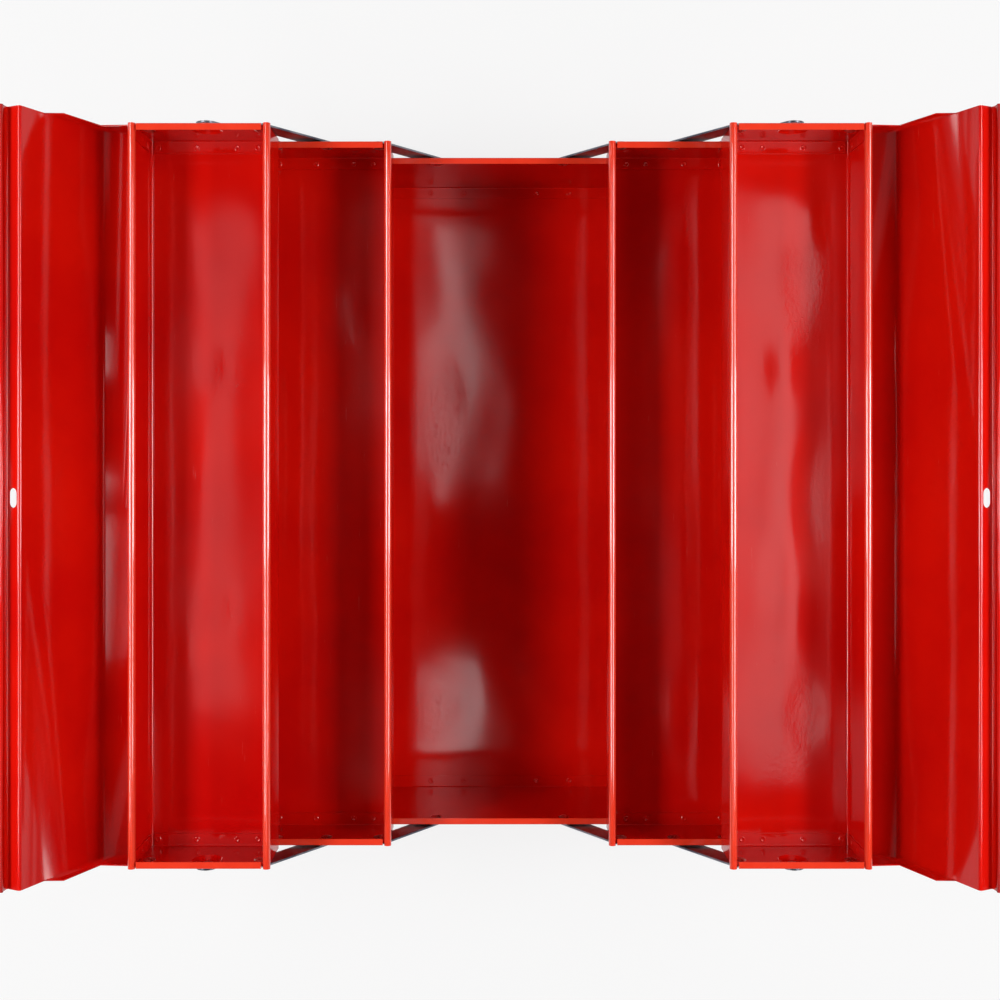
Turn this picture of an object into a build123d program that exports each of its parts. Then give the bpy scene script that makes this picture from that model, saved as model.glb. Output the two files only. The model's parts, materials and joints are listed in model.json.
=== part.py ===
from build123d import *
from math import hypot
import os

# Cantilever tool case of pressed sheet steel: one deep base, two middle trays and two top trays that
# fan out on plated arms, and two lids that swing out on rivets. Millimetres, +Z up, the rest pose is
# fully open. The origin is on the table, under the middle of the case. X runs across the trays, Y
# runs along them. Every left-hand piece is drawn first and mirrored for the right.

# Trays
LENGTH = 530.0            # over the outside of the two end plates
PAN_LENGTH = 530.8        # the rolled edges stand just proud of the end plates
SHEET = 1.0
BEAD_RADIUS = 2.7         # rolled edge along each long side, centred on the wall
BEND_RADIUS = 3.5         # outside of the fold between wall and floor
TRAY_WIDTH = 101.5        # over the rolled edges
TRAY_HEIGHT = 51.5
BASE_HEIGHT = 112.0
CENTRE_GAP = 0.5          # each closed tray stops this far from the middle plane
BASE_WIDTH = 2 * (TRAY_WIDTH + CENTRE_GAP)

# Fan of trays
STEP = 53.0               # rise from one rim to the next, closed and open alike
SHIFT = 81.5              # each tray moves this far out over the one below it
PIVOT_DROP = 18.0         # all pivots lie this far below their rim
INNER_PIVOT = 10.25       # distance of a tray's pivots from its inner edge
MIDDLE_PIVOT = 51.0
OUTER_PIVOT = 89.25
ARM_WIDTH = 16.0
ARM_THICKNESS = 1.5
ARM_EDGE = 0.4            # broken outer edge
CRANK_RUN = 8.0           # length of the step near the top of an upper arm
CRANK_REACH = 18.0        # and its distance from the top pivot

# End plates
FLANGE_WIDTH = 4.9        # rim folded inward at each end
FOOT_WIDTH = 10.2         # flanges welded to the pan's floor and walls
FOLD_RADIUS = 0.9         # at the folds between a plate and its rim and foot
RIM_NOTCH = 6.2           # height of the narrower top that clears the rolled edges
SEAM = 0.9                # open seam beside the rolled edges
DISH_HEIGHT = 2.7         # pressed dish behind the top of each upper arm
DISH_TOP_RADIUS = 8.6
DISH_FOOT_RADIUS = 11.8
DISH_ROUND = 0.8
WASHER_THICKNESS = 0.8    # under the arms at the other pivots
WASHER_RADIUS = 6.5

# Rivets
SHANK_RADIUS = 3.0
RUNNING_GAP = 0.08        # radial gap where an arm, a lid or a handle turns
FIXED_GAP = 0.01
HEAD_RADIUS = 4.6
HEAD_HEIGHT = 1.3
SIDE_GAP = 0.2            # side play between faces that slide past each other

# Lids, drawn shut over their tray: x from the tray's middle, z from its rim
LID_ANGLE = 115.3         # swing from shut to fully open
LID_LENGTH = 533.6
LID_PIVOT_X = -39.85
LID_FOOT = (-51.0, 1.4)
LID_SHOULDER = (-35.25, 23.0)
LID_RIDGE_X = 42.25
LID_RIDGE_TOP = 34.5
LID_LIP = (49.6, 32.0)
HEM_RADIUS = 1.2
GUSSET_DEPTH = 12.5       # end lip below the flat of the lid
GUSSET_REACH = 56.0       # how far the end lip runs from the shoulder
EAR_RADIUS = 9.3          # round end of the lip about its pivot
LID_FOLDS = [7.0, 1.5, 1.5]
SLOT_LENGTH = 13.5        # padlock slot in the upright flange
SLOT_WIDTH = 7.0

# Handles, drawn folded flat on a shut lid
ROD_RADIUS = 4.0
HANDLE_SPAN = 150.0       # between the middles of the two legs
HANDLE_LEG = 52.0
HANDLE_STUB = 20.0        # ends that turn in the clips
HANDLE_BENDS = [6.0, 14.0, 14.0, 6.0]
HANDLE_X = 27.25          # hinge line, from the tray's middle
HANDLE_LIFT = 5.4         # hinge line above the lid's outer face
HANDLE_HANG = 25.3        # a free handle hangs this far off an open lid
CLIP_WIDTH = 12.0
CLIP_FOOT = 8.0           # spot-welded to the lid, so nothing shows inside it

# Worked out from the above
HALF_LENGTH = LENGTH / 2
MIDDLE_RIM = BASE_HEIGHT + STEP
TOP_RIM = BASE_HEIGHT + 2 * STEP
MIDDLE_X = -(CENTRE_GAP + TRAY_WIDTH / 2 + SHIFT)
TOP_X = MIDDLE_X - SHIFT
SHORT_BASE_X = -(CENTRE_GAP + INNER_PIVOT + SHIFT / 2)
LONG_BASE_X = -(CENTRE_GAP + MIDDLE_PIVOT + SHIFT / 2)
UPPER_ARM_X = MIDDLE_X + TRAY_WIDTH / 2 - OUTER_PIVOT
ARM_INNER_Y = HALF_LENGTH + WASHER_THICKNESS + SIDE_GAP
ARM_OUTER_Y = ARM_INNER_Y + ARM_THICKNESS
ARM_CRANK = DISH_HEIGHT - WASHER_THICKNESS
LID_PIVOT = (TOP_X + LID_PIVOT_X, TOP_RIM - PIVOT_DROP)
GUSSET_OUTER_Y = LID_LENGTH / 2
ON_BASE = (Align.CENTER, Align.CENTER, Align.MIN)


def pan(width, height):
    """Trough of one sheet: floor, two walls and a rolled edge along the top of each wall."""
    wall = width / 2 - BEAD_RADIUS
    outer = Pos(0, -height / 2) * Rectangle(2 * wall + SHEET, height)
    outer = fillet(outer.vertices().group_by(Axis.Y)[0], BEND_RADIUS)
    inner = Pos(0, -height / 2 + SHEET) * Rectangle(2 * wall - SHEET, height)
    inner = fillet(inner.vertices().group_by(Axis.Y)[0], BEND_RADIUS - SHEET)
    section = outer - inner
    cut_line = Pos(0, -BEAD_RADIUS / 2) * Rectangle(width, BEAD_RADIUS)
    section -= cut_line
    for side in (-1, 1):
        centre = Pos(side * wall, -BEAD_RADIUS)
        section = section + centre * Circle(BEAD_RADIUS)
        section = section - centre * Circle(BEAD_RADIUS - SHEET)
    return extrude(Plane.XZ * section, PAN_LENGTH / 2, both=True)


def along_y(x, z, y, direction=-1):
    """Plane at (x, y, z) whose normal runs along Y, towards the front unless told otherwise."""
    return Plane(origin=(x, y, z), x_dir=(1, 0, 0), z_dir=(0, direction, 0))


def end_plate(width, height, dished, plain):
    """Front end plate of a tray: rim, foot and sides folded inward, with holes for the rivets."""
    half = width / 2 - BEAD_RADIUS - SHEET / 2
    corner = BEND_RADIUS - SHEET + 0.3
    floor = -(height - SHEET)
    rim_half = width / 2 - 2 * BEAD_RADIUS - SEAM
    body = Pos(0, (floor - RIM_NOTCH) / 2) * Rectangle(2 * half, -floor - RIM_NOTCH)
    body = fillet(body.vertices().group_by(Axis.Y)[0], corner)
    neck = Pos(0, -RIM_NOTCH / 2) * Rectangle(2 * rim_half, RIM_NOTCH)
    plate = extrude(along_y(0, 0, -HALF_LENGTH + SHEET) * (body + neck), SHEET)
    rim = Pos(0, -HALF_LENGTH + FLANGE_WIDTH / 2, -SHEET / 2) * Box(2 * rim_half, FLANGE_WIDTH, SHEET)
    foot_y = -HALF_LENGTH + FOOT_WIDTH / 2
    foot = Pos(0, foot_y, floor + SHEET / 2) * Box(2 * (half - corner), FOOT_WIDTH, SHEET)
    plate = plate + rim + foot
    side_top = -RIM_NOTCH - SHEET
    side_height = side_top - floor - corner
    for side in (-1, 1):
        middle = Pos(side * (half - SHEET / 2), foot_y, side_top - side_height / 2)
        plate = plate + middle * Box(SHEET, FOOT_WIDTH, side_height)
    plate = fillet(edge_along_x(plate, -HALF_LENGTH + SHEET, floor + SHEET), FOLD_RADIUS)
    plate = fillet(edge_along_x(plate, -HALF_LENGTH, 0), FOLD_RADIUS)
    plate = fillet(edge_along_x(plate, -HALF_LENGTH, floor), FOLD_RADIUS)
    for x in dished:
        plate = dish(plate, x)
    for x in plain:
        plate -= bore(x, -PIVOT_DROP, SHANK_RADIUS + FIXED_GAP)
    return plate


def edge_along_x(shape, y, z):
    """The longest edge along X at this y and z."""
    edges = shape.edges().filter_by(Axis.X)
    edges = edges.filter_by_position(Axis.Y, y - 0.01, y + 0.01)
    return edges.filter_by_position(Axis.Z, z - 0.01, z + 0.01).sort_by(SortBy.LENGTH)[-1]


def dish(plate, x):
    """Press a round dish outward round a pivot and pierce it."""
    outside = Cone(DISH_FOOT_RADIUS, DISH_TOP_RADIUS, DISH_HEIGHT, align=ON_BASE)
    inside = Cone(DISH_FOOT_RADIUS - SHEET, DISH_TOP_RADIUS - SHEET, DISH_HEIGHT, align=ON_BASE)
    outside = fillet(outside.edges().sort_by(Axis.Z)[-1], DISH_ROUND)
    plate += along_y(x, -PIVOT_DROP, -HALF_LENGTH) * outside
    plate -= along_y(x, -PIVOT_DROP, -HALF_LENGTH + SHEET) * inside
    return plate - bore(x, -PIVOT_DROP, SHANK_RADIUS + FIXED_GAP)


def bore(x, z, radius):
    """Round cutter through any end plate, arm or gusset at the front."""
    return along_y(x, z, -HALF_LENGTH) * Cylinder(radius, 30)


def domed_rivet(x, z, inner_y, outer_y):
    """Front rivet whose grip runs from inner_y to outer_y, with a domed head on both sides."""
    shank = along_y(x, z, (inner_y + outer_y) / 2) * Cylinder(SHANK_RADIUS, inner_y - outer_y)
    return shank + along_y(x, z, outer_y) * rivet_head() + along_y(x, z, inner_y, 1) * rivet_head()


def rivet_head():
    """Low dome on the plane z = 0."""
    ball = (HEAD_RADIUS ** 2 + HEAD_HEIGHT ** 2) / (2 * HEAD_HEIGHT)
    dome = Pos(0, 0, HEAD_HEIGHT - ball) * Sphere(ball)
    return dome & Cylinder(HEAD_RADIUS + 1, HEAD_HEIGHT, align=ON_BASE)


def dish_rivet(x, z):
    """Rivet through a dish and a cranked arm, with its inner head down in the dish."""
    return domed_rivet(x, z, -HALF_LENGTH - DISH_HEIGHT + SHEET, -ARM_OUTER_Y - ARM_CRANK - SIDE_GAP)


def washer_rivet(x, z):
    """Rivet through a flat plate, a washer and an arm."""
    return domed_rivet(x, z, -HALF_LENGTH + SHEET, -ARM_OUTER_Y - SIDE_GAP)


def washer(x, z):
    """Thin ring between a flat plate and an arm."""
    ring = Cylinder(WASHER_RADIUS, WASHER_THICKNESS, align=ON_BASE)
    ring -= Cylinder(SHANK_RADIUS + FIXED_GAP, WASHER_THICKNESS, align=ON_BASE)
    return along_y(x, z, -HALF_LENGTH) * ring


def lid_rivet(x, z):
    """Rivet through an end plate and the round ear of a lid."""
    return domed_rivet(x, z, -HALF_LENGTH + SHEET, -GUSSET_OUTER_Y - SIDE_GAP)


def arm(lower, levels, crank=0.0):
    """Front arm of the left fan, from its lowest pivot up, with a hole at each pivot.

    It is drawn along local x, with its inner face on z = 0. A cranked arm's top end stands out."""
    run = levels * SHIFT / 2
    rise = levels * STEP
    length = hypot(run, rise)
    outline = Pos(length / 2, 0) * SlotCenterToCenter(length, ARM_WIDTH)
    strip = extrude(outline, ARM_THICKNESS + crank)
    if crank:
        strip = strip & cranked_strip(length, crank)
    else:
        strip = chamfer(strip.edges().group_by(Axis.Z)[-1], ARM_EDGE)
    for level in range(levels + 1):
        strip -= Pos(level * length / levels, 0) * Cylinder(SHANK_RADIUS + RUNNING_GAP, 30)
    upward = (-run, 0, rise)
    return Plane(origin=(lower[0], -ARM_INNER_Y, lower[1]), x_dir=upward, z_dir=(0, -1, 0)) * strip


def cranked_strip(length, crank):
    """Wide strip along local x that steps out before the top pivot."""
    middle = ARM_THICKNESS / 2
    step_end = length - CRANK_REACH
    bent = trace(
        Polyline(
            (-ARM_WIDTH, middle),
            (step_end - CRANK_RUN, middle),
            (step_end, middle + crank),
            (length + ARM_WIDTH, middle + crank),
        ),
        ARM_THICKNESS,
    )
    return extrude(Plane.XZ * bent, ARM_WIDTH, both=True)


def lid():
    """Left lid, shut over a tray at the origin: folded sheet with an end lip at each end."""
    path = FilletPolyline(
        LID_FOOT,
        LID_SHOULDER,
        (LID_RIDGE_X, LID_SHOULDER[1]),
        (LID_RIDGE_X, LID_RIDGE_TOP),
        LID_LIP,
        radius=LID_FOLDS,
    )
    section = trace(path, SHEET) + Pos(*LID_LIP) * Circle(HEM_RADIUS)
    shell = extrude(along_y(0, 0, 0) * section, LID_LENGTH / 2, both=True)
    front = gusset()
    shell = shell + front + mirror(front, about=Plane.XZ)
    slot = Plane(origin=(LID_RIDGE_X, 0, (LID_SHOULDER[1] + LID_RIDGE_TOP) / 2), z_dir=(1, 0, 0))
    return shell - extrude(slot * SlotOverall(SLOT_LENGTH, SLOT_WIDTH), 2 * SHEET, both=True)


def gusset():
    """Front end lip of a lid: a tapered strip under the flat that widens into the pivot's ear."""
    low = LID_SHOULDER[1] - GUSSET_DEPTH
    ear_left = LID_PIVOT_X - EAR_RADIUS
    ear_right = LID_PIVOT_X + EAR_RADIUS
    tip = LID_SHOULDER[0] + GUSSET_REACH
    strip = make_face(Polyline(
        LID_FOOT,
        LID_SHOULDER,
        (tip, LID_SHOULDER[1]),
        (tip - GUSSET_DEPTH / 2, low),
        (ear_right + EAR_RADIUS, low),
        (ear_right, -PIVOT_DROP + EAR_RADIUS / 2),
        (ear_right, -PIVOT_DROP),
        (ear_left, -PIVOT_DROP),
        (ear_left, -PIVOT_DROP + EAR_RADIUS / 2),
        close=True,
    ))
    outline = strip + Pos(LID_PIVOT_X, -PIVOT_DROP) * Circle(EAR_RADIUS)
    plate = extrude(along_y(0, 0, -GUSSET_OUTER_Y + SHEET) * outline, SHEET)
    return plate - bore(LID_PIVOT_X, -PIVOT_DROP, SHANK_RADIUS + RUNNING_GAP)


def handle():
    """Bent rod handle, folded flat on a shut lid over a tray at the origin."""
    height = LID_SHOULDER[1] + SHEET / 2 + HANDLE_LIFT
    leg = HANDLE_SPAN / 2
    grip_x = HANDLE_X - HANDLE_LEG
    path = FilletPolyline(
        (HANDLE_X, -leg - HANDLE_STUB, height),
        (HANDLE_X, -leg, height),
        (grip_x, -leg, height),
        (grip_x, leg, height),
        (HANDLE_X, leg, height),
        (HANDLE_X, leg + HANDLE_STUB, height),
        radius=HANDLE_BENDS,
    )
    start = Plane(origin=path @ 0, z_dir=path % 0)
    return sweep(start * Circle(ROD_RADIUS), path)


def clips():
    """Two saddle clips that hold a handle's ends on a shut lid."""
    base = LID_SHOULDER[1] + SHEET / 2
    inside = ROD_RADIUS + RUNNING_GAP
    outside = inside + SHEET
    middle = Pos(0, HANDLE_LIFT)
    feet = Pos(0, SHEET / 2) * Rectangle(2 * (outside + CLIP_FOOT), SHEET)
    section = feet + middle * Circle(outside) + Pos(0, HANDLE_LIFT / 2) * Rectangle(2 * outside, HANDLE_LIFT)
    section = section - middle * Circle(inside) - Pos(0, HANDLE_LIFT / 2) * Rectangle(2 * inside, HANDLE_LIFT)
    saddle = extrude(along_y(HANDLE_X, base, 0) * section, CLIP_WIDTH / 2, both=True)
    reach = HANDLE_SPAN / 2 + HANDLE_STUB - CLIP_WIDTH / 2 - 1
    return [Pos(0, side * reach, 0) * saddle for side in (-1, 1)]


def swing_open(shape):
    """Carry what is drawn on a shut lid to its open place on the left top tray."""
    pivot = Axis((LID_PIVOT_X, 0, -PIVOT_DROP), (0, 1, 0))
    return Pos(TOP_X, 0, TOP_RIM) * shape.rotate(pivot, -LID_ANGLE)


def hang(shape):
    """Let a folded handle hang from its clips, off the lid."""
    hinge = Axis((HANDLE_X, 0, LID_SHOULDER[1] + SHEET / 2 + HANDLE_LIFT), (0, 1, 0))
    return shape.rotate(hinge, HANDLE_HANG)


def both_ends(shape):
    """A front piece and its mirror image at the back."""
    return [shape, mirror(shape, about=Plane.XZ)]


def other_side(shape):
    """Mirror image on the right-hand side."""
    return mirror(shape, about=Plane.YZ)


def group(solids):
    """Identical fasteners that share a node, as separate solids."""
    return Compound(children=[part.solid() for part in solids])


def fastened_tray(name, place, width, height, dished, washered, plain):
    """A tray at its place: pan, two end plates, and the rivets and washers of its arms."""
    front, back = both_ends(end_plate(width, height, dished, washered + plain))
    rivets = []
    washers = []
    for x in dished:
        rivets += both_ends(dish_rivet(x, -PIVOT_DROP))
    for x in washered:
        rivets += both_ends(washer_rivet(x, -PIVOT_DROP))
        washers += both_ends(washer(x, -PIVOT_DROP))
    return {
        name + "_pan": place * pan(width, height),
        name + "_front_end": place * front,
        name + "_back_end": place * back,
        name + "_arm_rivets": place * group(rivets),
        name + "_arm_washers": place * group(washers),
    }


def base_pieces():
    """The deep bottom tray, which stands on its floor."""
    pivots = [SHORT_BASE_X, LONG_BASE_X, -LONG_BASE_X, -SHORT_BASE_X]
    return fastened_tray("base", Pos(0, 0, BASE_HEIGHT), BASE_WIDTH, BASE_HEIGHT, [], pivots, [])


def middle_pieces():
    """The left middle tray: the long arm holds its middle, the short arms its two sides."""
    pivots = [TRAY_WIDTH / 2 - pivot for pivot in (INNER_PIVOT, MIDDLE_PIVOT, OUTER_PIVOT)]
    place = Pos(MIDDLE_X, 0, MIDDLE_RIM)
    return fastened_tray("middle", place, TRAY_WIDTH, TRAY_HEIGHT, [], pivots, [])


def top_pieces():
    """The left top tray, which also carries the lid's two pivots."""
    inner = TRAY_WIDTH / 2 - INNER_PIVOT
    middle = TRAY_WIDTH / 2 - (OUTER_PIVOT - SHIFT / 2)
    place = Pos(TOP_X, 0, TOP_RIM)
    return fastened_tray("top", place, TRAY_WIDTH, TRAY_HEIGHT, [middle], [inner], [LID_PIVOT_X])


def arm_pieces():
    """The six arms of the left fan."""
    base_pivot = BASE_HEIGHT - PIVOT_DROP
    kinds = {
        "long_arm": arm((LONG_BASE_X, base_pivot), 2),
        "lower_arm": arm((SHORT_BASE_X, base_pivot), 1),
        "upper_arm": arm((UPPER_ARM_X, base_pivot + STEP), 1, ARM_CRANK),
    }
    pieces = {}
    for kind, shape in kinds.items():
        front, back = both_ends(shape)
        pieces["front_" + kind] = front
        pieces["back_" + kind] = back
    return pieces


def lid_pieces():
    """The left lid with its pivots and its handle."""
    return {
        "lid": swing_open(lid()),
        "lid_rivets": group(both_ends(lid_rivet(*LID_PIVOT))),
        "handle": swing_open(hang(handle())),
        "handle_clips": group([swing_open(clip) for clip in clips()]),
    }


def left_pieces():
    """Every piece of the left-hand side, by name without its side."""
    return middle_pieces() | top_pieces() | arm_pieces() | lid_pieces()


def main():
    os.makedirs("parts", exist_ok=True)
    pieces = base_pieces()
    for name, shape in left_pieces().items():
        pieces["left_" + name] = shape
        pieces["right_" + name] = other_side(shape)
    for name, shape in pieces.items():
        export_step(shape, f"parts/{name}.step")
    print(len(pieces), "nodes written")


main()
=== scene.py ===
# %% [markdown]
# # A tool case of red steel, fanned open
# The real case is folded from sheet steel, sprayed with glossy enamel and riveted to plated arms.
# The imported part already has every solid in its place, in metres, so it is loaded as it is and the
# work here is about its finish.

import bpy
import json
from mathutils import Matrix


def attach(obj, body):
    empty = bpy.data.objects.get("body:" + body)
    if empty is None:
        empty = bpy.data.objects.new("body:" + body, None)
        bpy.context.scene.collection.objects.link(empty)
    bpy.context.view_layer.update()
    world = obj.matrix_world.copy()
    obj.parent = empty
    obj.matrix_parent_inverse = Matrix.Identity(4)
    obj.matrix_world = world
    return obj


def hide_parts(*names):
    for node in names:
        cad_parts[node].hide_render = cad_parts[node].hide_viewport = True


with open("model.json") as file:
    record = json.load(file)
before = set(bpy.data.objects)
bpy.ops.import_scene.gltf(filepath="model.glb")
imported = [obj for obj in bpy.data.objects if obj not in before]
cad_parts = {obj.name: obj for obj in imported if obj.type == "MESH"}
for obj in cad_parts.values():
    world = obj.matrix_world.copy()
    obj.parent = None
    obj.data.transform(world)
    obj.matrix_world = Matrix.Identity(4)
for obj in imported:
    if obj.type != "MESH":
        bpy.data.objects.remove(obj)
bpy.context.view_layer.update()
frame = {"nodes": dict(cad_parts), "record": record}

import json
import math

import bmesh
import bpy
from mathutils import Vector
from mathutils.noise import noise as noise_at

scene = bpy.context.scene
nodes = frame["nodes"]

# %% [markdown]
# ## Shader sums
# A finish is a network of small nodes. Written one by one they hide the idea, so a wire is wrapped
# in a class that knows plus, minus and times. A sum such as `1 - mask` then adds the Math nodes by
# itself. Everything else comes from one method that names the node and its sockets.

# %% A wire that can be used in sums
class Wire:
    """One output of a node in a finish, which can be used as if it were a number."""

    def __init__(self, tree, socket):
        self.tree = tree
        self.socket = socket

    def node(self, kind, settings=(), values=(), output=0):
        """Add a node of this kind to the same finish: settings first, then values or wires."""
        made = self.tree.nodes.new(kind)
        for name, value in dict(settings).items():
            setattr(made, name, value)
        for name, value in dict(values).items():
            connect(value, made.inputs[name])
        return Wire(self.tree, made.outputs[output])

    def maths(self, operation, first, second):
        """Add a Math node."""
        return self.node("ShaderNodeMath", {"operation": operation}, {0: first, 1: second})

    def __add__(self, other):
        return self.maths("ADD", self, other)

    def __radd__(self, other):
        return self.maths("ADD", other, self)

    def __sub__(self, other):
        return self.maths("SUBTRACT", self, other)

    def __rsub__(self, other):
        return self.maths("SUBTRACT", other, self)

    def __mul__(self, other):
        return self.maths("MULTIPLY", self, other)

    def __rmul__(self, other):
        return self.maths("MULTIPLY", other, self)


def connect(value, socket):
    """Link a wire to a socket, or write a plain value on it."""
    if isinstance(value, Wire):
        value.tree.links.new(value.socket, socket)
    else:
        socket.default_value = value


print("wires ready")

# %% [markdown]
# Masks and mixtures are what a finish is made of. `rise` turns a number into a soft step from 0 to
# 1, `noise` and `cells` are the two patterns that nature repeats most, and `blend` mixes colours.

# %% Patterns and masks
def rise(wire, low, high):
    """Soft step: 0 below low, 1 above high."""
    return wire.node(
        "ShaderNodeMapRange",
        {"interpolation_type": "SMOOTHSTEP"},
        {"Value": wire, "From Min": low, "From Max": high},
    )


def part_of(place, axis):
    """One of the three numbers of a place: 0 across, 1 along, 2 up."""
    return place.node("ShaderNodeSeparateXYZ", (), {0: place}, axis)


def stretched(place, factors):
    """The place on the surface, scaled by three factors."""
    return place.node("ShaderNodeVectorMath", {"operation": "MULTIPLY"}, {0: place, 1: factors})


def noise(place, scale, detail=2.0, roughness=0.5, warp=0.0):
    """Cloudy pattern, about 0 to 1, with `scale` features to the metre."""
    values = {
        "Vector": place,
        "Scale": scale,
        "Detail": detail,
        "Roughness": roughness,
        "Distortion": warp,
    }
    return place.node("ShaderNodeTexNoise", (), values)


def cells(place, scale):
    """Distance to the nearest of scattered points, 0 at a point."""
    return place.node("ShaderNodeTexVoronoi", (), {"Vector": place, "Scale": scale})


def blend(mask, first, second):
    """Colour between two colours: the first where the mask is 0, the second where it is 1."""
    return mask.node("ShaderNodeMix", {"data_type": "RGBA"}, {0: mask, 6: first, 7: second}, 2)


print("patterns ready")

# %% [markdown]
# Some marks belong to one spot. `near` measures how far a place is from the middle of the spot, with
# a reach of its own along each axis, and fades the mark out towards the edge.

# %% A soft patch on a surface
PATCH_EDGE = (0.35, 1.0)   # where the mark starts to fade and where it ends, as parts of the reach


def near(place, centre, reach):
    """Mask of a soft patch on a surface: 1 in its middle, 0 beyond its reach along X, Y and Z."""
    moved = place.node("ShaderNodeVectorMath", {"operation": "SUBTRACT"}, {0: place, 1: centre})
    scaled = stretched(moved, tuple(1 / value for value in reach))
    distance = scaled.node("ShaderNodeVectorMath", {"operation": "LENGTH"}, {0: scaled}, "Value")
    return 1 - rise(distance, *PATCH_EDGE)


print("patches ready")

# %% [markdown]
# `finish` starts a material: it keeps only the output and the Principled shader, writes what is the
# same all over on the shader's own sockets, and hands back the place on the surface. The object's
# own coordinates are used, so the pattern stays on a piece when it moves. `relief` takes a height in
# metres, so a dent has the depth that it would have on the real sheet.

# %% Start and end of a finish
def finish(name, fixed):
    """A new material with its fixed values, its shader, and the place on the surface."""
    material = bpy.data.materials.new(name)
    material.use_nodes = True
    tree = material.node_tree
    shader = tree.nodes["Principled BSDF"]
    for socket, value in fixed.items():
        shader.inputs[socket].default_value = value
    place = Wire(tree, tree.nodes.new("ShaderNodeTexCoord").outputs["Object"])
    return material, shader, place


def relief(height):
    """Normals of a surface that this height, in metres, stands out of."""
    return height.node("ShaderNodeBump", (), {"Height": height, "Strength": 1.0, "Distance": 1.0})


print("finishes can start")

# %% [markdown]
# ## Red enamel
# Sprayed enamel is glossy, so what the eye sees is mostly the shape of the sheet below it: long
# shallow waves from folding, small dents where tools were dropped, and a fine orange-peel skin.
# The waves are written in metres and feed one bump, which bends the reflections as real dents do.
# Colour changes very little: slightly deeper where the coat is thick.

# %% Values of the enamel
ENAMEL_RED = (0.64, 0.0055, 0.0015, 1.0)
ENAMEL_DEEP = (0.52, 0.0018, 0.0015, 1.0)
RIM_HIGHLIGHT_RED = (0.80, 0.048, 0.019, 1.0)   # painted highlight: a brighter, more orange red on the rims
DUST_GREY = (0.50, 0.22, 0.18, 1.0)       # dust that has settled in scratches
ENAMEL_FIXED = {"IOR": 1.52, "Metallic": 0.0, "Coat Roughness": 0.05, "Coat IOR": 1.6}

# each kind of unevenness: how many to the metre, and how high
WAVES, WAVE_HEIGHT = 11.0, 0.00025          # the folded sheet, a hand's width apart
RIPPLES, RIPPLE_HEIGHT = 46.0, 0.00003      # the sheet between two waves
PEEL, PEEL_HEIGHT = 800.0, 0.000003         # skin of the sprayed coat
NIBS, NIB_HEIGHT = 240.0, 0.0001            # specks of dust caught under the coat
CRINKLE, CRINKLE_HEIGHT = 330.0, 0.00007    # where the floor was hammered by dropped tools
print("enamel", ENAMEL_RED, "over waves of", WAVE_HEIGHT, "m")

# %% [markdown]
# The crinkles aren't everywhere. They are put where the photograph shows a lamp's mirror image broken
# up into small specks. Each patch is a place and a reach, in metres.

# %% Where the floors are crinkled
TOP_FLOOR = 0.168
MIDDLE_FLOOR = 0.115
BASE_FLOOR = 0.001
PATCH_DEPTH = 0.02

# middle across, middle along, height; reach across, reach along, reach up and down
CRINKLES = [
    ((0.226, 0.150, TOP_FLOOR), (0.030, 0.080, PATCH_DEPTH)),
    ((0.236, -0.010, TOP_FLOOR), (0.016, 0.070, PATCH_DEPTH)),
    ((0.214, -0.165, TOP_FLOOR), (0.030, 0.075, PATCH_DEPTH)),
    ((-0.208, 0.090, TOP_FLOOR), (0.026, 0.030, PATCH_DEPTH)),
    ((-0.215, -0.100, TOP_FLOOR), (0.032, 0.045, PATCH_DEPTH)),
    ((-0.115, 0.130, MIDDLE_FLOOR), (0.012, 0.024, PATCH_DEPTH)),
    ((-0.048, 0.060, BASE_FLOOR), (0.026, 0.070, PATCH_DEPTH)),
    ((-0.055, -0.200, BASE_FLOOR), (0.024, 0.035, PATCH_DEPTH)),
]


def crinkled_places(place):
    """1 in the crinkled patches, 0 elsewhere."""
    mask = near(place, *CRINKLES[0])
    for centre, reach in CRINKLES[1:]:
        mask = mask + near(place, centre, reach)
    return mask


print(len(CRINKLES), "crinkled patches")

# %% [markdown]
# The rolled edges and folded rims are given a brighter, more orange red than the rest, a painted
# highlight for the strong light that they catch. The rims of the three kinds of tray lie at three
# heights, and that is all a mask needs to find them: it keeps a narrow band at each height, and stops
# before the lids.

# %% Find the rims
RIM_LEVELS = (0.112, 0.165, 0.218)   # tops of the base's, the middle trays' and the top trays' rims
RIM_START = (0.0045, 0.0035)         # the band fades in this far below a rim's top
RIM_END = (0.0004, 0.0009)           # and fades out this far above it
LIDS_START = (0.2672, 0.2680)        # across, everything past this is a lid


def rim_mask(place):
    """1 on the rolled edges and folded rims of the trays, 0 elsewhere."""
    height = part_of(place, 2)
    across = part_of(place, 0)
    mask = 0.0
    for level in RIM_LEVELS:
        above = rise(height, level - RIM_START[0], level - RIM_START[1])
        mask = mask + above * (1 - rise(height, level + RIM_END[0], level + RIM_END[1]))
    trays = 1 - rise(across.maths("ABSOLUTE", across, 0.0), *LIDS_START)
    return mask * trays


print("rims at", RIM_LEVELS)

# %% [markdown]
# The unevenness is one sum of heights. It is kept apart from the colour, so that each can be changed
# without the other: the heights make the mirror images bend, and the colour barely changes.

# %% Unevenness of the enamel
ALONG_THE_FOLDS = (1.0, 0.45, 1.0)   # the waves are longer along the case


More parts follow.
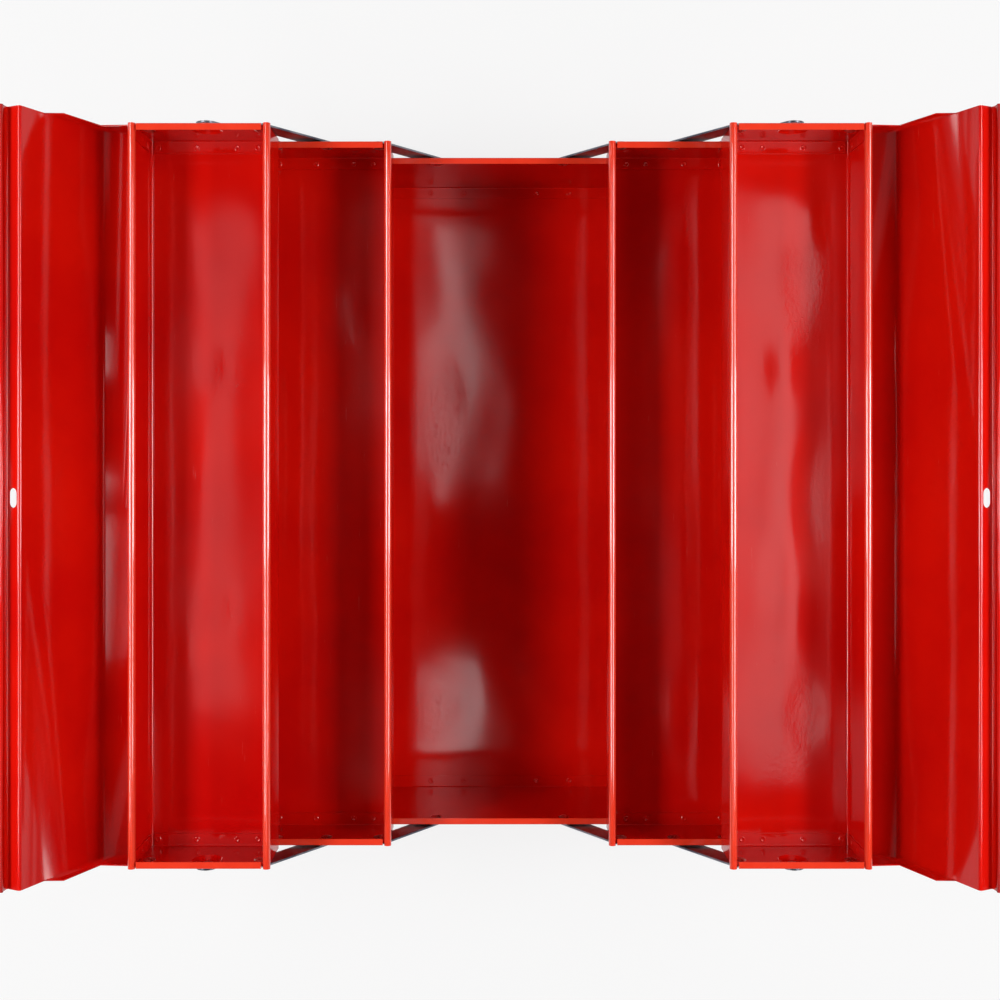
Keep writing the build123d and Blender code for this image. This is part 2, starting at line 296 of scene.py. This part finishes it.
def enamel_height(place):
    """Waves, ripples, skin, specks and crinkles, added up in metres."""
    waves = noise(stretched(place, ALONG_THE_FOLDS), WAVES, 1.5, 0.45)
    ripples = noise(place, RIPPLES, 2.0, 0.55, 0.6)
    peel = noise(place, PEEL, 1.0)
    nibs = 1 - rise(cells(place, NIBS), 0.05, 0.16)
    chosen = rise(noise(place, 30.0), 0.52, 0.62)
    crinkled = crinkled_places(place)
    crinkle = noise(place, CRINKLE, 2.0, 0.6, 0.8)
    return (
        waves * WAVE_HEIGHT
        + ripples * RIPPLE_HEIGHT
        + peel * PEEL_HEIGHT
        + nibs * chosen * crinkled * NIB_HEIGHT
        + crinkled * crinkle * CRINKLE_HEIGHT
    )


print("unevenness ready")

# %% [markdown]
# The colour goes from red to a deeper red in large clouds. Scratches run along the case and hold a
# little dust, which makes them duller too. The rims get a painted highlight, a brighter red in
# patches, and only they get a clear second gloss.

# %% Build the enamel
SCRATCH_STRETCH = (60.0, 2.0, 60.0)   # thin across, long along
DUST_SHARE = 0.15                     # how much of a scratch's colour is dust
GLOSS = 0.08                          # roughness where the enamel is clean


def red_enamel():
    """The sprayed enamel of all the sheet steel."""
    material, shader, place = finish("red_enamel", ENAMEL_FIXED)
    shade = rise(noise(place, 7.0, 3.0, 0.6), 0.30, 0.75)
    colour = blend(shade, ENAMEL_RED, ENAMEL_DEEP)
    scratches = 1 - rise(noise(stretched(place, SCRATCH_STRETCH), 14.0, 4.0, 0.7), 0.26, 0.33)
    colour = blend(scratches * DUST_SHARE, colour, DUST_GREY)
    rim = rim_mask(place)
    # Painted highlight: the rims are blended towards a brighter, more orange red, in patches spread
    # by noise.
    wear_and_sheen = 0.6 + noise(place, 60.0, 3.0, 0.6) * 0.5
    colour = blend(rim * wear_and_sheen, colour, RIM_HIGHLIGHT_RED)
    roughness = GLOSS + noise(place, 24.0, 3.0) * 0.06 + scratches * 0.2
    connect(rim, shader.inputs["Coat Weight"])
    connect(colour, shader.inputs["Base Color"])
    connect(roughness, shader.inputs["Roughness"])
    connect(relief(enamel_height(place)), shader.inputs["Normal"])
    return material


enamel = red_enamel()
print(enamel.name, len(enamel.node_tree.nodes), "nodes")

# %% [markdown]
# ## Plated steel
# The arms are punched from strip and zinc plated, then darkened by handling. Plated metal is a true
# metal in the shader, so its colour is the colour of its reflection. Fine lines run along the strip
# from rolling, and a cloudy film makes some places duller. The rivets and the handles' rods are the
# same idea with other values.

# %% Build the metals
PLATE_PALE, PLATE_DARK = (0.30, 0.31, 0.35, 1.0), (0.10, 0.11, 0.15, 1.0)
RIVET_PALE, RIVET_DARK = (0.66, 0.64, 0.60, 1.0), (0.30, 0.27, 0.25, 1.0)
ROD_PALE, ROD_DARK = (0.66, 0.67, 0.69, 1.0), (0.45, 0.46, 0.50, 1.0)
LINES = 900.0              # rolled lines to the metre
LINE_HEIGHT = 0.000004
FILM_HEIGHT = 0.00001


def metal(name, pale, dark, roughness, film_scale):
    """Plated steel: rolled lines, a cloudy film and small scratches rubbed pale."""
    material, shader, place = finish(name, {"Metallic": 1.0})
    film = rise(noise(place, film_scale, 4.0, 0.65), 0.35, 0.68)
    lines = noise(stretched(place, (1.0, 1.0, 0.25)), LINES, 2.0)
    wear_and_sheen = rise(noise(place, film_scale * 5, 3.0, 0.7, 0.5), 0.60, 0.72)
    colour = blend(film, dark, pale)
    colour = blend(wear_and_sheen * 0.5, colour, pale)
    connect(colour, shader.inputs["Base Color"])
    connect(roughness + film * 0.12 + lines * 0.08, shader.inputs["Roughness"])
    connect(relief(lines * LINE_HEIGHT + film * FILM_HEIGHT), shader.inputs["Normal"])
    return material


finishes = {
    "red_enamel": enamel,
    "arm_plating": metal("arm_plating", PLATE_PALE, PLATE_DARK, 0.26, 40.0),
    "rivet_steel": metal("rivet_steel", RIVET_PALE, RIVET_DARK, 0.20, 150.0),
    "handle_plating": metal("handle_plating", ROD_PALE, ROD_DARK, 0.14, 60.0),
}
print("finishes", sorted(finishes))

# %% [markdown]
# The record of the part says which finish each solid takes. A solid's own shape is right as it is,
# so it only gets its material, and this one loop dresses the whole case.

# %% Give every solid its finish
for part in frame["record"]["subparts"]:
    mesh = nodes[part["node"]].data
    mesh.materials.clear()
    mesh.materials.append(finishes[part["material_slot"]])

# %% [markdown]
# ## New pieces of enamelled sheet
# A few solids are made again with more detail. Each new piece needs the same care: smooth shading
# that stops at the folds, the enamel, and a body of the case to ride on. A piece that takes the place
# of a solid hides that solid.

# %% Put a new piece on the case
SHARP_ANGLE = math.radians(30)   # an edge that turns more than this stays sharp
SAME_PLACE = 0.000002            # points closer than this are one point
ON_THE_CUT = 0.000001            # points closer than this to a cut are on it


def smooth(mesh):
    """Shade the faces smoothly, but for the folds."""
    mesh.polygons.foreach_set("use_smooth", [True] * len(mesh.polygons))
    mesh.set_sharp_from_angle(angle=SHARP_ANGLE)


def object_of(shape, name):
    """Turn a bmesh into an object in the scene."""
    mesh = bpy.data.meshes.new(name)
    shape.to_mesh(mesh)
    shape.free()
    made = bpy.data.objects.new(name, mesh)
    scene.collection.objects.link(made)
    return made


def enamelled(piece, body):
    """Give a new piece the enamel and let it ride on a body."""
    piece.data.materials.clear()
    piece.data.materials.append(enamel)
    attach(piece, body)


def shape_of(name):
    """A solid's mesh as a bmesh whose faces share their points."""
    shape = bmesh.new()
    shape.from_mesh(nodes[name].data)
    bmesh.ops.remove_doubles(shape, verts=shape.verts, dist=SAME_PLACE)
    return shape


def cut_through(shape, place, normal):
    """Cut every face at a plane, and keep both sides."""
    everything = shape.verts[:] + shape.edges[:] + shape.faces[:]
    bmesh.ops.bisect_plane(shape, geom=everything, dist=ON_THE_CUT, plane_co=place, plane_no=normal)


print("new pieces can be placed")

# %% [markdown]
# ## Floors that have been used
# A thin floor never stays flat. Folding the walls up leaves it crowned by a fraction of a
# millimetre, and every dropped tool leaves a dent. The enamel mirrors the lamps, so these small
# heights are what the eye sees. They are real shape here, and not only shading.

# %% Sizes of the floors and their dents
PANS = {
    # node: body, middle across, half width of the flat floor, top of the floor, crown
    "base_pan": ("base", 0.0, 0.0955, 0.001, 0.0003),
    "left_middle_pan": ("left_middle_tray", -0.13275, 0.045, 0.1145, 0.0003),
    "left_top_pan": ("left_top_tray", -0.21425, 0.045, 0.1675, 0.0005),
    "right_middle_pan": ("right_middle_tray", 0.13275, 0.045, 0.1145, 0.0003),
    "right_top_pan": ("right_top_tray", 0.21425, 0.045, 0.1675, 0.0005),
}

# each dent: middle across and along, reach across and along, height (below 0 where pushed in)
FLOOR_DENTS = {
    "base_pan": [
        (-0.050, 0.085, 0.030, 0.045, -0.0005),
        (-0.030, 0.170, 0.035, 0.060, 0.0004),
        (-0.060, -0.030, 0.030, 0.030, 0.0005),
        (-0.045, -0.190, 0.030, 0.030, -0.0004),
        (0.045, 0.110, 0.030, 0.070, 0.0003),
        (0.040, -0.120, 0.035, 0.060, -0.0003),
    ],
    "left_middle_pan": [
        (-0.115, 0.140, 0.006, 0.012, -0.0004),
        (-0.135, -0.050, 0.020, 0.050, -0.0003),
    ],
    "left_top_pan": [
        (-0.216, 0.095, 0.008, 0.016, -0.0005),
        (-0.212, -0.085, 0.010, 0.018, -0.0006),
        (-0.234, -0.115, 0.008, 0.014, 0.0005),
        (-0.205, 0.190, 0.018, 0.030, -0.0004),
        (-0.222, 0.010, 0.012, 0.050, 0.0004),
    ],
    "right_middle_pan": [
        (0.137, 0.170, 0.008, 0.030, -0.0004),
        (0.137, -0.175, 0.008, 0.035, -0.0004),
    ],
    "right_top_pan": [
        (0.232, 0.205, 0.010, 0.018, 0.0006),
        (0.222, 0.160, 0.012, 0.030, -0.0006),
        (0.214, 0.095, 0.010, 0.020, 0.0005),
        (0.236, 0.000, 0.010, 0.035, -0.0005),
        (0.208, -0.060, 0.006, 0.018, -0.0005),
        (0.222, -0.095, 0.010, 0.022, 0.0006),
        (0.228, -0.165, 0.012, 0.020, -0.0006),
    ],
}
print(sum(len(dents) for dents in FLOOR_DENTS.values()), "dents in", len(PANS), "floors")

# %% [markdown]
# One function says how high the sheet stands at any place. The crown is a smooth arch from wall to
# wall, the waves make each floor a little different, and a dent is a bell. All of it dies out before
# the walls and the end plates, where the folds and the spot welds hold the sheet flat.

# %% Heights of a floor
WAVE_ACROSS = 26          # waves to the metre, across and along
WAVE_ALONG = 13
WAVE_LIFT = 0.0004
FLAT_FROM = 0.222         # along the case, the floor is flat again past this and the fade
FLAT_FADE = 0.030


def step(value):
    """Soft step from 0 to 1 for a value between 0 and 1."""
    value = min(max(value, 0.0), 1.0)
    return value * value * (3 - 2 * value)


def floor_height(name, x, y):
    """How far the sheet stands above a flat floor."""
    _, middle, half, _, crown = PANS[name]
    across = (x - middle) / half
    if abs(across) >= 1:
        return 0.0
    arch = math.cos(math.pi / 2 * across) ** 2
    own_waves = Vector((x * WAVE_ACROSS, y * WAVE_ALONG, middle * 50))
    height = arch * (crown + noise_at(own_waves) * WAVE_LIFT)
    for centre_x, centre_y, reach_x, reach_y, lift in FLOOR_DENTS[name]:
        distance = ((x - centre_x) / reach_x) ** 2 + ((y - centre_y) / reach_y) ** 2
        height += lift * math.exp(-distance) * step(2 - 2 * abs(across))
    return max(height, 0.0) * (1 - step((abs(y) - FLAT_FROM) / FLAT_FADE))


print("middle of the base floor stands up", round(floor_height("base_pan", 0, 0) * 1000, 2), "mm")

# %% [markdown]
# The floor of a pan is one large face, and one face can't bend. So the solid's mesh is copied and cut
# into a grid of small squares, and then every point of the floor, above and below the sheet, is
# lifted by the same rule. The sheet keeps its thickness.

# %% Cut the pans into a grid and press them
GRID = 0.006               # side of a square
GRID_END = 0.252           # the grid reaches this far along, to both ends
SHEET = 0.001
SHEET_MARGIN = 0.0002      # points this close to the sheet's two faces belong to it


def pressed_pan(name):
    """A copy of the pan whose floor has been crowned and dented."""
    body, middle, half, top, _ = PANS[name]
    shape = shape_of(name)
    columns = int(2 * half / GRID) + 1
    rows = round(2 * GRID_END / GRID)
    for i in range(columns + 1):
        cut_through(shape, (middle - half + 2 * half * i / columns, 0, 0), (1, 0, 0))
    for i in range(rows + 1):
        cut_through(shape, (0, -GRID_END + 2 * GRID_END * i / rows, 0), (0, 1, 0))
    for vert in shape.verts:
        if top - SHEET - SHEET_MARGIN < vert.co.z < top + SHEET_MARGIN:
            vert.co.z += floor_height(name, vert.co.x, vert.co.y)
    piece = object_of(shape, name + "_pressed")
    smooth(piece.data)
    enamelled(piece, body)
    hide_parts(name)
    return piece


for pan in PANS:
    pressed = pressed_pan(pan)
    print(pressed.name, len(pressed.data.polygons), "faces")

# %% [markdown]
# ## Padlock slots
# Each lid has an oblong slot in its upright flange, and its long way runs along the lid. A real slot
# is made with a punch, and so is this one: a prism with round ends, placed where the part's record
# has its mount for a padlock, and long enough to go through the flange alone.

# %% The punch
SLOT_LENGTH = 0.0135
SLOT_WIDTH = 0.007
SLOT_REACH = 0.0025        # the punch goes this far to both sides of the flange
ROUND_STEPS = 12           # sides of each round end
mounts = {mount["name"]: mount for mount in frame["record"]["mounts"]}


def slot_outline():
    """Points round the slot: how far along, and how far up."""
    radius = SLOT_WIDTH / 2
    straight_half = SLOT_LENGTH / 2 - radius
    outline = []
    for end in (1, -1):
        for i in range(ROUND_STEPS + 1):
            angle = math.pi * i / ROUND_STEPS
            along = end * (straight_half + radius * math.sin(angle))
            outline.append((along, end * radius * math.cos(angle)))
    return outline


def punch(mount):
    """A prism with round ends, long along Y, through the flange at the mount."""
    centre = Vector(mount["pos_m"])
    through = Vector(mount["axis"]).normalized()
    along = Vector((0, 1, 0))
    up = through.cross(along)
    outline = slot_outline()
    shape = bmesh.new()
    loops = []
    for reach in (-SLOT_REACH, SLOT_REACH):
        points = [centre + through * reach + along * y + up * v for y, v in outline]
        loops.append([shape.verts.new(point) for point in points])
    near_loop, far_loop = loops
    for i in range(len(outline)):
        j = (i + 1) % len(outline)
        shape.faces.new((near_loop[i], near_loop[j], far_loop[j], far_loop[i]))
    for loop in loops:
        shape.faces.new(loop)
    bmesh.ops.recalc_face_normals(shape, faces=shape.faces)
    return object_of(shape, "punch")


print("slot", SLOT_LENGTH, "by", SLOT_WIDTH, "m")

# %% [markdown]
# The lids' solids have their slots turned by a quarter, up the flange. So each lid is made again of
# its own solid: the middle stretch is taken out, the two cut ends are bridged with clean sheet, and
# the new slot is punched in that. The lid is the same all along its middle, so the bridge fits.

# %% Lids with their slots
BRIDGE_HALF = 0.010        # half of the stretch of lid that is made new


def bridged_lid(name):
    """The lid's own solid with a clean middle, as a bmesh."""
    shape = shape_of(name)
    for y in (-BRIDGE_HALF, BRIDGE_HALF):
        cut_through(shape, (0, y, 0), (0, 1, 0))
    limit = BRIDGE_HALF + SAME_PLACE
    middle = [face for face in shape.faces if all(abs(vert.co.y) < limit for vert in face.verts)]
    bmesh.ops.delete(shape, geom=middle, context="FACES")
    open_edges = [edge for edge in shape.edges if edge.is_boundary]
    bmesh.ops.bridge_loops(shape, edges=open_edges)
    bmesh.ops.recalc_face_normals(shape, faces=shape.faces)
    return shape


def slotted_lid(side):
    """A lid with a slot that runs along it."""
    name = side + "_lid"
    lid = object_of(bridged_lid(name), name + "_slotted")
    tool = punch(mounts[side + "_padlock_slot"])
    cut = lid.modifiers.new("slot", "BOOLEAN")
    cut.operation = "DIFFERENCE"
    cut.solver = "EXACT"
    cut.object = tool
    solved = lid.evaluated_get(bpy.context.evaluated_depsgraph_get())
    mesh = bpy.data.meshes.new_from_object(solved)
    lid.modifiers.clear()
    lid.data = mesh
    bpy.data.objects.remove(tool)
    smooth(mesh)
    enamelled(lid, side + "_lid_cover")
    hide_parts(name)
    return lid


for side in ("left", "right"):
    lid = slotted_lid(side)
    print(lid.name, len(lid.data.polygons), "faces")

# %% [markdown]
# ## Spot welds
# The end plates are not riveted to the pans: their folded flanges are spot-welded. Each weld leaves a
# small ring where the tip of the welder pressed the sheet. A ring is a few circles of points joined
# into a shallow crater, so it catches the light as a crescent.

# %% A ring pressed by a welding tip
# radius and height, from the rim of the mark to its middle
WELD_PROFILE = [
    (0.0024, 0.0),
    (0.0020, 0.0003),
    (0.0016, 0.00042),
    (0.0012, 0.00022),
    (0.0006, 0.00003),
]
WELD_SIDES = 20


def add_weld(shape, centre, normal):
    """Add one weld mark at a point of a flange, facing along its normal."""
    turn = Vector((0, 0, 1)).rotation_difference(Vector(normal))
    rings = []
    for radius, height in WELD_PROFILE:
        ring = []
        for i in range(WELD_SIDES):
            angle = 2 * math.pi * i / WELD_SIDES
            point = Vector((radius * math.cos(angle), radius * math.sin(angle), height))
            ring.append(shape.verts.new(Vector(centre) + turn @ point))
        rings.append(ring)
    for outer, inner in zip(rings, rings[1:]):
        for i in range(WELD_SIDES):
            j = (i + 1) % WELD_SIDES
            shape.faces.new((outer[i], outer[j], inner[j], inner[i]))
    shape.faces.new(rings[-1])


print("a weld mark has", WELD_SIDES * (len(WELD_PROFILE) - 1) + 1, "faces")

# %% [markdown]
# The welds sit in the middle of the flanges. Every end plate has a foot on the floor with four welds,
# and a flange up each wall with two. On the trays the four aren't evenly spread, and the left trays
# are the mirror image of the right ones.

# %% Where the welds are
WELD_Y = 0.2591                                  # along the case, middle of each flange
FLANGE = 0.001                                   # thickness of a flange
TRAY_WELDS = (0.0328, 0.0172, -0.013, -0.042)    # from a tray's middle towards the case's middle
BASE_WELDS = (-0.061, -0.0318, 0.0318, 0.061)
WELD_DROPS = (0.024, 0.039)                      # below the rim, on the wall flanges
TRAY_RIM = 0.0505                                # height of a tray's rim over its floor
FOLD = 0.0025                                    # from the flat floor's edge to the wall


def weld_places(name):
    """Points on the feet and on the side flanges of both end plates of a tray, with their normals."""
    _, middle, half, top, _ = PANS[name]
    offsets = BASE_WELDS if name == "base_pan" else TRAY_WELDS
    rim = RIM_LEVELS[0] if name == "base_pan" else top + TRAY_RIM
    side = math.copysign(1, middle)
    wall = half + FOLD - FLANGE
    places = []
    for end in (-1, 1):
        for offset in offsets:
            places.append(((middle - side * offset, end * WELD_Y, top + FLANGE), (0, 0, 1)))
        for face in (-1, 1):
            for drop in WELD_DROPS:
                place = (middle + face * wall, end * WELD_Y, rim - drop)
                places.append((place, (-face, 0, 0)))
    return places


def welds(name):
    """All the weld marks of one tray, as one piece."""
    body = PANS[name][0]
    shape = bmesh.new()
    for centre, normal in weld_places(name):
        add_weld(shape, centre, normal)
    piece = object_of(shape, body + "_welds")
    piece.data.polygons.foreach_set("use_smooth", [True] * len(piece.data.polygons))
    enamelled(piece, body)
    return piece


for pan in PANS:
    marks = welds(pan)
    print(marks.name, len(marks.data.polygons), "faces")

# %% [markdown]
# ## Floor, light and camera
# The case was photographed from straight above on white. The floor is pale grey, and a large share of
# plain white is mixed in where the camera sees it, so it looks white and still shows the case's
# shadow. In mirrors the share is small.

# %% Pale floor
FLOOR_GREY = (0.60, 0.60, 0.60, 1.0)
CAMERA_WHITE = 0.65        # share of white that only the camera sees
SEEN_WHITE = 0.15          # share of white that the camera and mirrors see
SIGHT_RAYS = ("Is Camera Ray", "Is Glossy Ray", "Is Transmission Ray")


def rays(tree):
    """Masks for light that goes to the camera, to a mirror, or through glass."""
    path = tree.nodes.new("ShaderNodeLightPath")
    return [Wire(tree, path.outputs[name]) for name in SIGHT_RAYS]


def pale_floor():
    """A plain floor that looks white and keeps the shadow of the case."""
    bpy.ops.mesh.primitive_plane_add(size=12.0, location=(0, 0, 0))
    floor = bpy.context.object
    floor.name = "pale_floor"
    fixed = {"Base Color": FLOOR_GREY, "Roughness": 0.9, "Specular IOR Level": 0.0}
    material, shader, place = finish("floor_white", fixed)
    camera_ray, glossy_ray, glass_ray = rays(place.tree)
    seen = camera_ray.maths("MINIMUM", camera_ray + glossy_ray + glass_ray, 1.0)
    share = camera_ray * CAMERA_WHITE + seen * SEEN_WHITE
    white = seen.node("ShaderNodeEmission", (), {"Color": (1, 1, 1, 1), "Strength": 1.0})
    lit = Wire(place.tree, shader.outputs["BSDF"])
    mixed = seen.node("ShaderNodeMixShader", (), {0: share, 1: lit, 2: white})
    connect(mixed, place.tree.nodes["Material Output"].inputs["Surface"])
    floor.data.materials.append(material)


pale_floor()
print("floor is there")

# %% [markdown]
# Glossy paint mirrors its surroundings, so the lamps are placed where the photograph shows their
# reflections. The floors are nearly level and the camera looks down: a highlight at a given place
# on a floor comes from a lamp the same way out again, at the height of the lamps. The small soft
# boxes make those highlights, and the two wide ones, far over the sides, light the case.

# %% Soft boxes above the case
LAMP_HEIGHT = 1.30
SOFT_BOXES = {
    # name: from and to across, from and to along, radiance
    "left_pale": ((-0.53, -0.39), (-0.40, 0.42), 0.8),
    "left_bright": ((-0.53, -0.45), (-0.34, 0.06), 3.6),
    "right_pale": ((0.36, 0.53), (-0.50, 0.46), 1.6),
    "right_bright": ((0.47, 0.53), (-0.16, 0.05), 8.0),
    "back_bright": ((-0.15, -0.09), (-0.03, 0.50), 3.2),
    "back_pale": ((-0.09, -0.04), (-0.03, 0.50), 0.8),
    "front_bright": ((-0.15, -0.055), (-0.58, -0.39), 3.6),
    "left_over": ((-1.10, -0.78), (-0.60, 0.60), 14.0),
    "right_over": ((0.84, 1.26), (-0.60, 0.60), 11.0),
}


def soft_box(name, centre, size, radiance):
    """A rectangular lamp that looks straight down, as bright as its radiance says."""
    lamp = bpy.data.lights.new(name, "AREA")
    lamp.shape = "RECTANGLE"
    lamp.size, lamp.size_y = size
    lamp.energy = radiance * math.pi * size[0] * size[1]
    holder = bpy.data.objects.new(name, lamp)
    holder.location = centre
    scene.collection.objects.link(holder)
    return holder


for name, (across, along, radiance) in SOFT_BOXES.items():
    size = (across[1] - across[0], along[1] - along[0])
    box = soft_box(name, (sum(across) / 2, sum(along) / 2, LAMP_HEIGHT), size, radiance)
    print(box.name, round(box.data.energy, 1), "W")

# %% [markdown]
# One more soft box stands beside the case on each side, lower than the others and turned towards the
# trays. The lids hang outwards, so they get most of it. It is kept above the direction that the
# lids mirror to the camera, or it would show in them as a white streak.

# %% Soft boxes beside the case
SIDE_PLACE = (1.5, 0.0, 1.12)
SIDE_SIZE = (0.4, 1.4)
SIDE_TARGET = (0, 0, 0.2)

for name, side, radiance in (("left_low", -1, 5.5), ("right_low", 1, 7.0)):
    centre = (side * SIDE_PLACE[0], SIDE_PLACE[1], SIDE_PLACE[2])
    box = soft_box(name, centre, SIDE_SIZE, radiance)
    aim = Vector(SIDE_TARGET) - Vector(centre)
    box.rotation_euler = aim.to_track_quat("-Z", "Y").to_euler()
    print(box.name, round(box.data.energy, 1), "W")

# %% [markdown]
# The ceiling is dark and the walls are pale, so light comes in from the sides and the level floors
# of the trays mirror nothing but the lamps. What lies below the horizon is white in mirrors, as the
# floor is, and to the camera everything round the case is white.

# %% Pale walls of the studio
WALL_LIGHT = 0.25
WALL_FOOT = (0.0, 0.10)     # the walls start here: 0 is the horizon and 1 is straight up
WALL_TOP = (0.30, 0.55)     # and end here
HORIZON = (-0.02, 0.06)     # below this, mirrors see white


def studio_walls():
    """Light from all round, and what the camera and the mirrors see behind the case."""
    world = bpy.data.worlds.new("studio")
    world.use_nodes = True
    tree = world.node_tree
    direction = Wire(tree, tree.nodes.new("ShaderNodeTexCoord").outputs["Generated"])
    up = part_of(direction, 2)
    wall = rise(up, *WALL_FOOT) * (1 - rise(up, *WALL_TOP))
    camera_ray, glossy_ray, glass_ray = rays(tree)
    mirror = glossy_ray + glass_ray
    shown = camera_ray + (1 - camera_ray) * mirror * (1 - rise(up, *HORIZON))
    strength = shown + (1 - shown) * wall * WALL_LIGHT
    background = tree.nodes["Background"]
    background.inputs["Color"].default_value = (1.0, 0.99, 0.98, 1.0)
    connect(strength, background.inputs["Strength"])
    scene.world = world


studio_walls()
print("walls are there")

# %% [markdown]
# The camera looks straight down from 0.89 m above the upper rims, close enough for the lower trays
# to look smaller than the upper ones. Its lens is shifted a little along the case, because the middle
# of the picture isn't right under the camera.

# %% Camera
CAMERA_PLACE = (0.0, 0.0322, 1.108)
FOCAL_PIXELS = 1253.6
PICTURE = 1000
SENSOR = 36.0
camera = bpy.data.cameras.new("camera")
camera.sensor_width = SENSOR
camera.lens = SENSOR * FOCAL_PIXELS / PICTURE
camera.shift_y = -0.0494
holder = bpy.data.objects.new("camera", camera)
holder.location = CAMERA_PLACE
scene.collection.objects.link(holder)
scene.camera = holder
print("lens", round(camera.lens, 1), "mm")

# %% [markdown]
# ## The view
# The plain view shows the colours as they are written.

# %% Look
scene.view_settings.view_transform = "Standard"
